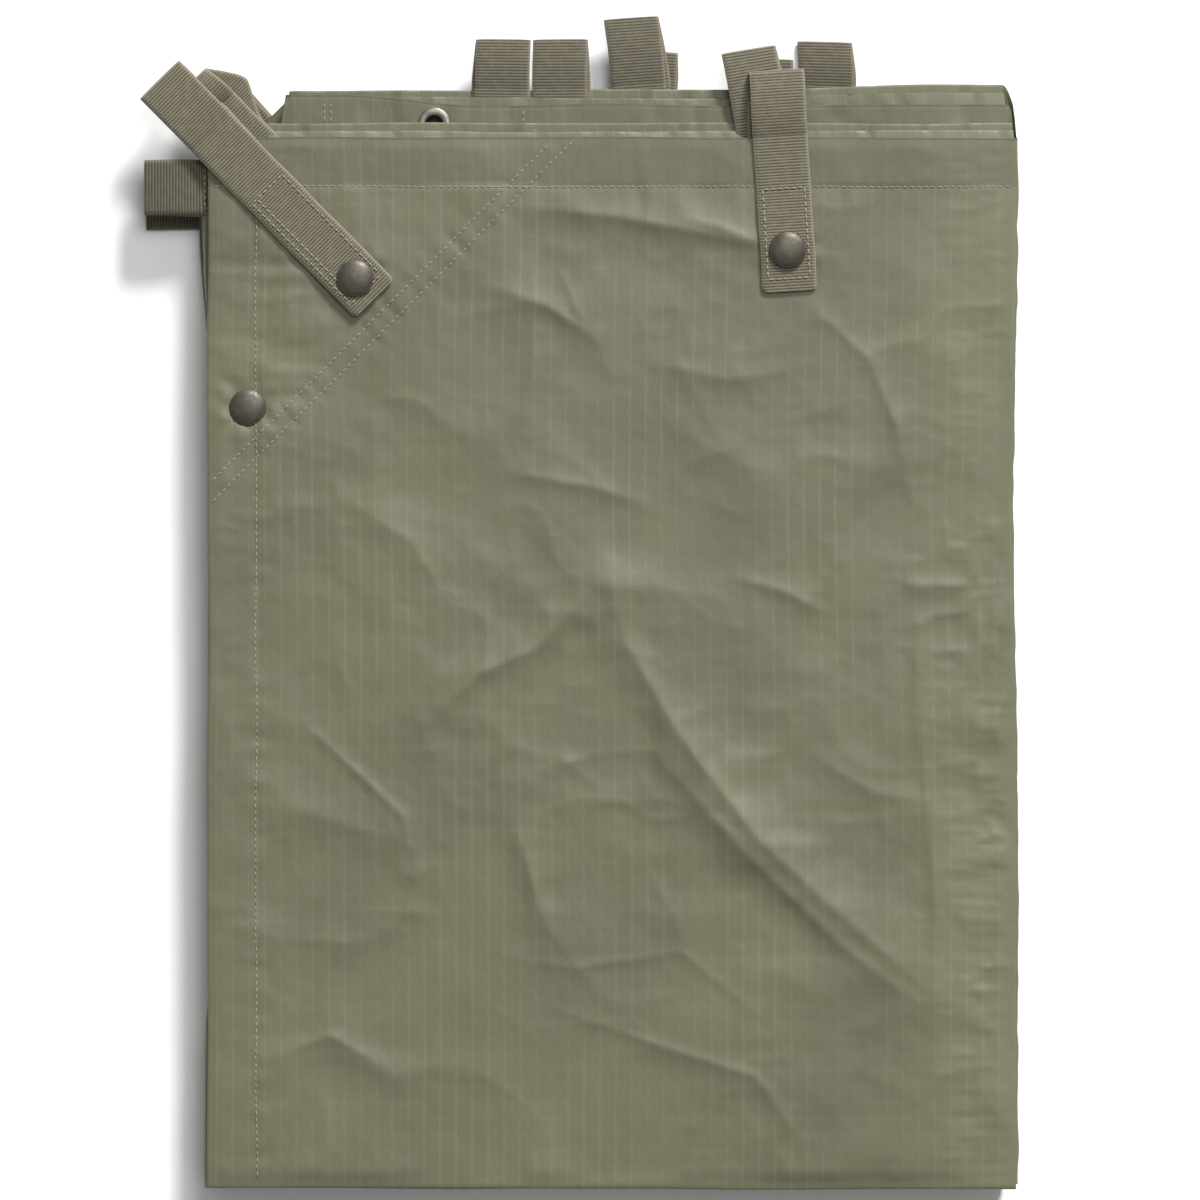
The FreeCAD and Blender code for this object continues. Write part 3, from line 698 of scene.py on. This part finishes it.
class Loop:
    """A carrying loop's place and sizes, read from its CAD nodes."""

    def __init__(self, name):
        self.name = name
        joint = next(j for j in frame["joints"] if j["child"] == name)
        self.parent = joint["parent"]
        self.spot = Vector(joint["pos_m"])
        axis = Vector(joint["axis"])
        self.across = -axis
        self.out = Vector((axis.y, -axis.x, 0.0))
        bight = self.local(node_points(name))
        legs = self.local(node_points(f"{name}_legs"))
        self.reach = bight[:, 1].max()
        self.width = bight[:, 0].max() - bight[:, 0].min()
        front = legs[:, 2] > -1.5 * MM
        self.front_leg = -legs[front, 1].min()
        self.back_leg = -legs[~front, 1].min()
        self.gap = -bight[:, 2].min()
        self.slant = 0.0
        self.shows = self.parent == "panel_1" and "side" not in name
        if "side" in name:
            self.slant = 1.0
            self.front_leg -= self.width / 2
            self.back_leg -= self.width / 2

    def local(self, points):
        """Points along the webbing's width, outward past the bending line, and to the front."""
        away = points - np.array(self.spot)
        return np.stack([away @ np.array(self.across), away @ np.array(self.out), away[:, 2]], axis=1)

    def world(self, points):
        """Places in the frame for points along the width, outward and to the front."""
        return (np.array(self.spot) + points[..., :1] * np.array(self.across)
                + points[..., 1:2] * np.array(self.out) + points[..., 2:] * np.array((0.0, 0.0, 1.0)))


# how each loop lies: how far its back half is shifted sideways, how far its front half stands up, and
# how far its tip leans, in millimetres
LOOP_SET = {
    "head_corner_loop_1": (1.2, 2.2, 0.0),
    "foot_corner_loop_1": (9.5, 5.0, -1.5),
    "head_corner_loop_4": (1.0, 0.6, 0.0),
    "foot_corner_loop_4": (1.0, 0.3, 0.0),
    "head_loop_1": (-2.4, 2.4, 0.0),
    "foot_loop_1": (1.5, 1.5, -1.0),
    "head_loop_2": (1.6, 1.0, 0.3),
    "foot_loop_2": (-1.8, 1.2, 0.5),
    "head_loop_3": (2.2, 1.6, -1.5),
    "foot_loop_3": (0.8, 0.4, 0.0),
    "head_loop_4": (0.8, 0.4, 0.0),
    "foot_loop_4": (1.4, 1.0, -1.0),
    "side_loop_1": (-1.0, 1.6, 0.0),
    "side_loop_4": (0.6, 0.6, 0.0),
}


def strap_path(loop):
    """The middle line of a loop's webbing, from its front end to its back end, as across, outward and height.

    The second result is how far each place belongs to the front half: 1 there, and 0 on the back half.
    """
    shift, stand, lean = (value * MM for value in LOOP_SET[loop.name])
    half = STRAP_THICKNESS / 2 if loop.shows else 1.0 * MM
    fold = (loop.gap - STRAP_THICKNESS) / 2 if loop.shows else 0.55 * MM
    step = RIB_PITCH / RIB_SAMPLES
    tip = loop.reach - fold - half
    front = np.arange(-loop.front_leg, tip, step)
    back = np.arange(tip, -loop.back_leg, -step)
    turn = np.linspace(0, math.pi, 10)[1:-1]
    out = np.concatenate([front, tip + fold * np.sin(turn), back])
    high = np.concatenate([front * 0 - half, -half - fold + fold * np.cos(turn), back * 0 - half - 2 * fold])
    free = smooth(out, 0.0, loop.reach * 0.45)
    first = np.concatenate([front * 0 + 1.0, np.linspace(1, 0, len(turn)), back * 0])
    rise = np.sin(np.clip(out / loop.reach, 0, 1) * math.pi) ** 0.8
    high = high + stand * rise * first
    side = shift * (1 - first) * (1 - np.clip(out / loop.reach, 0, 1)) * smooth(out, -20 * MM, 6 * MM)
    side = side + lean * free * np.clip(out / loop.reach, 0, 1) ** 2
    return np.stack([side, out, high], axis=1), first


def make_strap(loop):
    """One length of webbing, ribbed across, sewn down at both ends and folded over at the loop's tip."""
    path, first = strap_path(loop)
    spots = loop.world(path[None])[0]
    lift = np.zeros(len(path))
    if loop.parent == "panel_1" and "head" in loop.name:
        heights = []
        for aside in (-0.55, -0.3, 0.0, 0.3, 0.55):
            beside = spots + aside * loop.width * np.array(loop.across)
            heights.append(front_height(beside[:, 0], np.minimum(beside[:, 1], FRONT_TOP - 6 * MM)))
        height = np.max(heights, axis=0)
        kernel = np.ones(LIFT_WINDOW) / LIFT_WINDOW
        height = np.convolve(np.pad(height, LIFT_WINDOW // 2, mode="edge"), kernel, mode="valid")
        lift = (height + 0.75 * MM) * first
    toward = np.gradient(path, axis=0)
    toward /= np.maximum(np.linalg.norm(toward, axis=1, keepdims=True), 1e-9)
    normal = np.stack([toward[:, 0] * 0, -toward[:, 2], toward[:, 1]], axis=1)
    lengths = np.concatenate([[0.0], np.cumsum(np.linalg.norm(np.diff(path, axis=0), axis=1))])
    rib = 0.5 + 0.5 * np.cos(2 * math.pi * lengths / RIB_PITCH)
    half_width = loop.width / 2
    share = np.linspace(-1, 1, STRAP_COLUMNS)
    share = np.sign(share) * (1 - (1 - np.abs(share)) ** 1.25)
    from_end = np.minimum(lengths, lengths[-1] - lengths)
    short = np.clip(1 - from_end / FRAY_DEPTH, 0, 1)
    fray = half_width - FRAY_DEPTH * (1 - np.sqrt(1 - short ** 2))
    seed = 300 + len(loop.name) + 3 * int(loop.spot.x * 100)
    wobble = 0.25 * MM * lattice(lengths / (16 * MM), lengths * 0, seed)
    leg_end = smooth(-path[:, 1], 0.0, loop.back_leg)
    edge_round = 1 - np.abs(share) ** 6 * 0.55
    seam = 1 - 0.8 * np.abs(share) ** 10
    rows = []
    for face in (1, -1):
        groove = rib if face > 0 else 1 - rib
        columns = []
        for part, thin, ribs in zip(share, edge_round, seam):
            out_by = face * (STRAP_THICKNESS / 2 * thin - RIB_HEIGHT * ribs * groove)
            shape = path + normal * out_by[:, None]
            shape[:, 0] += part * fray + wobble
            shape[:, 1] += part * half_width * loop.slant * leg_end
            shape[:, 2] += lift
            columns.append(shape)
        rows.append(np.array(columns if face > 0 else columns[::-1]))
    ring = np.concatenate(rows, axis=0).transpose(1, 0, 2)
    count, around = ring.shape[:2]
    widths = np.concatenate([share, share[::-1]]) * half_width
    coords = np.stack(np.meshgrid(widths, lengths), axis=2).reshape(-1, 2)
    faces = grid_faces(count, around, closed=True)
    faces.append(tuple(range(around))[::-1])
    last = (count - 1) * around
    faces.append(tuple(last + i for i in range(around)))
    points = loop.world(ring.reshape(-1, 3))
    # loops at the side and behind take the darker webbing copies, which are painted shade
    webbing = WEBBING if loop.shows else WEBBING_SHADED_SIDE if "side" in loop.name else WEBBING_SHADED_BEHIND
    piece = mesh_piece(f"{loop.name}_webbing", points, faces, webbing, coords)
    return piece, path, lift


# ---------------------------------------------------------------- stitches

def thread_dash(start, end, up, radius):
    """One stitch: a short round thread whose ends dive into the cloth."""
    along = end - start
    length = along.length
    along.normalize()
    side = along.cross(up).normalized()
    points = []
    stations = ((0.0, 0.45, -1.0), (0.14, 0.95, 0.1), (0.5, 1.0, 0.45), (0.86, 0.95, 0.1), (1.0, 0.45, -1.0))
    for share, size, raise_by in stations:
        middle = start + along * length * share + up * radius * raise_by
        for turn in range(THREAD_SIDES):
            angle = turn * 2 * math.pi / THREAD_SIDES
            points.append(middle + (side * math.cos(angle) + up * math.sin(angle)) * radius * size)
    faces = grid_faces(len(stations), THREAD_SIDES, closed=True)
    faces.append(tuple(range(THREAD_SIDES))[::-1])
    last = THREAD_SIDES * (len(stations) - 1)
    faces.append(tuple(last + i for i in range(THREAD_SIDES)))
    return points, faces


def make_stitches(name, lines, up=Vector((0, 0, 1)), radius=THREAD_RADIUS):
    """Rows of stitches along lines of points that already lie on the surface."""
    points, faces = [], []
    rng = np.random.default_rng(RNG_SEED)
    for line in lines:
        line = np.asarray(line)
        lengths = np.concatenate([[0.0], np.cumsum(np.linalg.norm(np.diff(line, axis=0), axis=1))])
        for at in np.arange(0.4 * MM, lengths[-1] - STITCH_LENGTH, STITCH_PITCH):
            stray = rng.uniform(-0.12, 0.12, 2) * MM
            ends = []
            for shift, moved in ((0.0, stray[0]), (STITCH_LENGTH, stray[1])):
                spot = Vector([np.interp(at + shift, lengths, line[:, axis]) for axis in range(3)])
                ends.append(spot + Vector((moved, -moved, 0)))
            more, sides = thread_dash(ends[0], ends[1], up, radius)
            faces += [tuple(len(points) + i for i in side) for side in sides]
            points += more
    return mesh_piece(name, points, faces, THREAD)


def straight(start, end, step=1.5 * MM):
    """Points along a straight line seen from the front."""
    count = max(2, int(math.dist(start, end) / step))
    share = np.linspace(0, 1, count)
    return start[0] + (end[0] - start[0]) * share, start[1] + (end[1] - start[1]) * share


def hem_lines(layer, facing):
    """The stitch lines on an outer panel's hem, side hem and corner patch."""
    low = PACK_BOTTOM + 4 * MM
    top, left = layer.high.y, PACK_LEFT
    right = PACK_RIGHT - SIDE_BULGE - 3 * MM
    hem_y, side_x = top - HEM_DEPTH, left + HEM_DEPTH
    plans = [((left + 1 * MM, hem_y), (right, hem_y))]
    if layer.panel in (1, 4):
        plans.append(((side_x, top - 1 * MM), (side_x, low)))
        for out in (0.0, PATCH_SEAM_GAP):
            leg = PATCH_LEG + out
            plans.append(((left + 1.5 * MM, top - leg + 1.5 * MM), (left + leg - 1.5 * MM, top - 1.5 * MM)))
    if layer.panel == 2 and facing > 0:
        for along in (52.5 * MM, 55.5 * MM, 143.5 * MM):
            plans.append(((left + along, top + 1 * MM), (left + along, hem_y)))
    lines = []
    for start, end in plans:
        x, y = straight(start, end)
        bend = 0.5 * MM * lattice(x / (40 * MM), y / (40 * MM), layer.seed + 9)
        x, y = x + bend, y + bend * 0.6
        inside = (x > layer.left(y) + 1 * MM) & (y < layer.top(x) - 1 * MM)
        x, y = x[inside], y[inside]
        z = layer.depth(x, y) + facing * 0.14 * MM
        lines.append(np.stack([x, y, z], axis=1))
    return lines


def strap_stitches(loop, path, lift):
    """The stitches that sew a loop's front leg down: a line across near the hem, two sides, a lower line."""
    inset = loop.width / 2 - 3.0 * MM
    if loop.front_leg > 65 * MM:
        first = -0.34 * loop.front_leg
    elif loop.front_leg > 30 * MM:
        first = -0.6 * loop.front_leg
    else:
        first = -4 * MM
    last = -loop.front_leg + (6 * MM if loop.slant == 0 else 10 * MM)
    count = len(path) // 2
    front = path[:count]
    plans = [((-inset, first), (inset, first)), ((-inset, last), (inset, last)),
             ((-inset, first), (-inset, last)), ((inset, first), (inset, last))]
    if loop.front_leg > 90 * MM:
        plans.append(((-inset + 3 * MM, first), (-inset + 3 * MM, last)))
    lines = []
    for start, end in plans:
        across, out = straight(start, end)
        raised = np.interp(out, front[:, 1], front[:, 2]) + np.interp(out, front[:, 1], lift[:count])
        shape = np.stack([across, out, raised + STRAP_THICKNESS / 2], axis=1)
        lines.append(loop.world(shape))
    return lines


# ---------------------------------------------------------------- metal pieces

def turned_piece(name, spots, profile, material):
    """Round pieces turned about Z from a profile of radius and height, one at each spot."""
    points, faces = [], []
    for spot in spots:
        base = len(points)
        for radius, height in profile:
            for turn in range(ROUND_SIDES):
                angle = 2 * math.pi * turn / ROUND_SIDES
                x, y = spot.x + radius * math.cos(angle), spot.y + radius * math.sin(angle)
                points.append((x, y, spot.z + height))
        for face in grid_faces(len(profile), ROUND_SIDES, closed=True):
            faces.append(tuple(base + i for i in face))
        faces.append(tuple(base + (len(profile) - 1) * ROUND_SIDES + i for i in range(ROUND_SIDES)))
    return mesh_piece(name, points, faces, material)


def cap_profile():
    """A press-stud cap: a rolled rim round a low dome."""
    profile = [(CAP_RADIUS * 0.86, -0.7 * MM), (CAP_RADIUS * 0.97, -0.55 * MM), (CAP_RADIUS, -0.05 * MM)]
    dome = CAP_RADIUS * 0.93
    profile += [(CAP_RADIUS * 0.995, 0.25 * MM), (CAP_RADIUS * 0.97, 0.5 * MM), (dome, 0.66 * MM)]
    start = math.cos(math.radians(CAP_DOME_START))
    for step in range(1, 12):
        angle = math.radians(CAP_DOME_START + (90 - CAP_DOME_START) * step / 11.5)
        profile.append((dome * math.cos(angle) / start, CAP_HEIGHT * math.sin(angle)))
    return profile


def ring_profile(inner, outer, thick):
    """An eyelet's rolled flange, its barrel, and the roll at its back."""
    profile = [(outer, -0.2 * MM)]
    middle, half = (inner + outer) / 2, (outer - inner) / 2
    for step in range(9):
        angle = math.pi * step / 8
        profile.append((middle + half * math.cos(angle), thick * math.sin(angle)))
    profile.append((inner, -2.6 * MM))
    return profile


# ---------------------------------------------------------------- build

def eyelet_spot(panel):
    """An eyelet's middle, and the heights of its ends."""
    low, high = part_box(f"hem_eyelet_{panel}")
    return Vector(((low.x + high.x) / 2, (low.y + high.y) / 2, high.z)), low.z, high.z


PANEL_BODIES = {1: "panel_1", 2: "panel_2", 3: "panel_3", 4: "root"}
FINE, COARSE = (1.5 * MM, 7.0 * MM), (2.6 * MM, 7.0 * MM)

sheets = {}
for panel in PANEL_BODIES:
    holes = []
    if panel in (2, 3):
        spot, low, high = eyelet_spot(panel)
        holes.append((spot, EYELET_CUT, low - 0.3 * MM, high + 0.3 * MM))
    sheets[panel] = make_panel_cloth(panel, FINE if panel == 1 else COARSE, holes)

# each side fold, by its joint: the two panels it joins, and the side it is on
SIDE_FOLDS = {"upper_fold": (1, 2, 1), "middle_fold": (2, 3, -1), "lower_fold": (3, 4, 1)}
strips = {panel: [] for panel in PANEL_BODIES}
for joint_name, (front, back, side) in SIDE_FOLDS.items():
    for nested in range(LAYERS_PER_PANEL):
        upper = sheets[front][1][nested]
        lower = sheets[back][1][LAYERS_PER_PANEL - 1 - nested]
        name = f"{joint_name}_cloth_{nested + 1}"
        strip, top, bottom = make_side_fold(name, upper, lower, side, SIDE_BULGE * (1 - 0.22 * nested))
        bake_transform(strip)
        strips[front].append(strip)

for panel in PANEL_BODIES:
    for face, facing, number in (("front", 1, 0), ("back", -1, LAYERS_PER_PANEL - 1)):
        lines = hem_lines(sheets[panel][1][number], facing)
        piece = make_stitches(f"panel_{panel}_{face}_stitches", lines, Vector((0, 0, facing)))
        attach(piece, PANEL_BODIES[panel])
        strips[panel].append(piece)

for panel, (piece, layers, flat) in sheets.items():
    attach(piece, PANEL_BODIES[panel])
    nodes = [f"panel_{panel}_front_leaf", f"panel_{panel}_back_leaf"]
    nodes += [n for n in frame["nodes"] if n.endswith(f"_patch_{panel}")]
    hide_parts(*nodes)

laid = []
loops = [Loop(joint["child"]) for joint in frame["joints"] if joint["child"] in LOOP_SET]
for loop in loops:
    strap, path, lift = make_strap(loop)
    laid.append((loop, path, lift))
    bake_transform(strap)
    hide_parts(loop.name, f"{loop.name}_legs")
    lines = strap_stitches(loop, path, lift)
    sewn = make_stitches(f"{loop.name}_stitches", lines, radius=1.4 * THREAD_RADIUS)
    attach(sewn, loop.parent)

cap_seats = []
for cap in CAPS:
    seat = FRONT_FACE - FRONT_SINK + front_height(np.array([cap.x]), np.array([cap.y]))[0] + 0.45 * MM
    for loop, path, lift in laid:
        across, out, _ = loop.local(np.array([cap]))[0]
        if loop.shows and abs(across) < loop.width / 2 and -loop.front_leg < out < 0:
            count = len(path) // 2
            seat = loop.spot.z + np.interp(out, path[:count, 1], lift[:count]) + 0.35 * MM
    cap_seats.append(Vector((cap.x, cap.y, seat)))
caps = turned_piece("press_stud_caps", cap_seats, cap_profile(), CAP_METAL)
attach(caps, "panel_1")
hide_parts("stud_caps")

for panel in (2, 3):
    spot = eyelet_spot(panel)[0]
    profile = ring_profile(inner=4.0 * MM, outer=7.6 * MM, thick=0.55 * MM)
    ring = turned_piece(f"hem_eyelet_{panel}_ring", [spot], profile, EYELET_METAL)
    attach(ring, PANEL_BODIES[panel])
    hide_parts(f"hem_eyelet_{panel}")

for name, material in {"stud_sockets": INNER_METAL, "hem_stud": INNER_METAL, "hem_stud_post": INNER_METAL,
                       "socket_springs": WIRE_METAL, "eyelet_washer_2": EYELET_METAL,
                       "eyelet_washer_3": EYELET_METAL}.items():
    slots = frame["nodes"][name].data.materials
    slots.clear()
    slots.append(material)


# ---------------------------------------------------------------- floor, light and camera

def make_floor():
    """A plain pale floor."""
    shade = Shader("pale_floor")
    shade.set(Base_Color=(0.93, 0.93, 0.93, 1.0), Roughness=0.9, Specular_IOR_Level=0.1)
    corners = [(x * FLOOR_HALF, y * FLOOR_HALF, 0) for x, y in ((-1, -1), (1, -1), (1, 1), (-1, 1))]
    floor = mesh_piece("floor", corners, [(0, 1, 2, 3)], shade.material)


def area_light(name, spot, size, watts):
    """A soft light aimed at the middle of the pack."""
    data = bpy.data.lights.new(name, "AREA")
    data.shape = "DISK"
    data.size = size
    data.energy = watts
    light = bpy.data.objects.new(name, data)
    bpy.context.scene.collection.objects.link(light)
    light.location = spot
    light.visible_camera = False
    light.rotation_euler = (-Vector(spot)).to_track_quat("-Z", "Y").to_euler()


def sun_light(name, toward, strength, soft):
    """A distant soft light, by the direction it comes from and its spread in degrees."""
    data = bpy.data.lights.new(name, "SUN")
    data.energy = strength
    data.angle = math.radians(soft)
    light = bpy.data.objects.new(name, data)
    bpy.context.scene.collection.objects.link(light)
    light.rotation_euler = (-Vector(toward)).to_track_quat("-Z", "Y").to_euler()


make_floor()
sun_light("key", toward=(0.34, 0.79, 0.52), strength=4.6, soft=14.0)
area_light("fill", spot=(0.35, 0.75, 2.0), size=0.9, watts=16.0)
world = bpy.data.worlds.new("studio")
world.use_nodes = True
world.node_tree.nodes["Background"].inputs["Color"].default_value = (1.0, 1.0, 1.0, 1.0)
world.node_tree.nodes["Background"].inputs["Strength"].default_value = WORLD_STRENGTH
bpy.context.scene.world = world
bpy.context.scene.view_settings.view_transform = "Standard"

camera_data = bpy.data.cameras.new("camera")
camera_data.lens = CAMERA_LENS
camera_data.clip_end = 60.0
camera = bpy.data.objects.new("camera", camera_data)
bpy.context.scene.collection.objects.link(camera)
camera.location = (*VIEW_CENTRE, FRONT_FACE + VIEW_WIDTH * CAMERA_LENS / camera_data.sensor_width)
bpy.context.scene.camera = camera
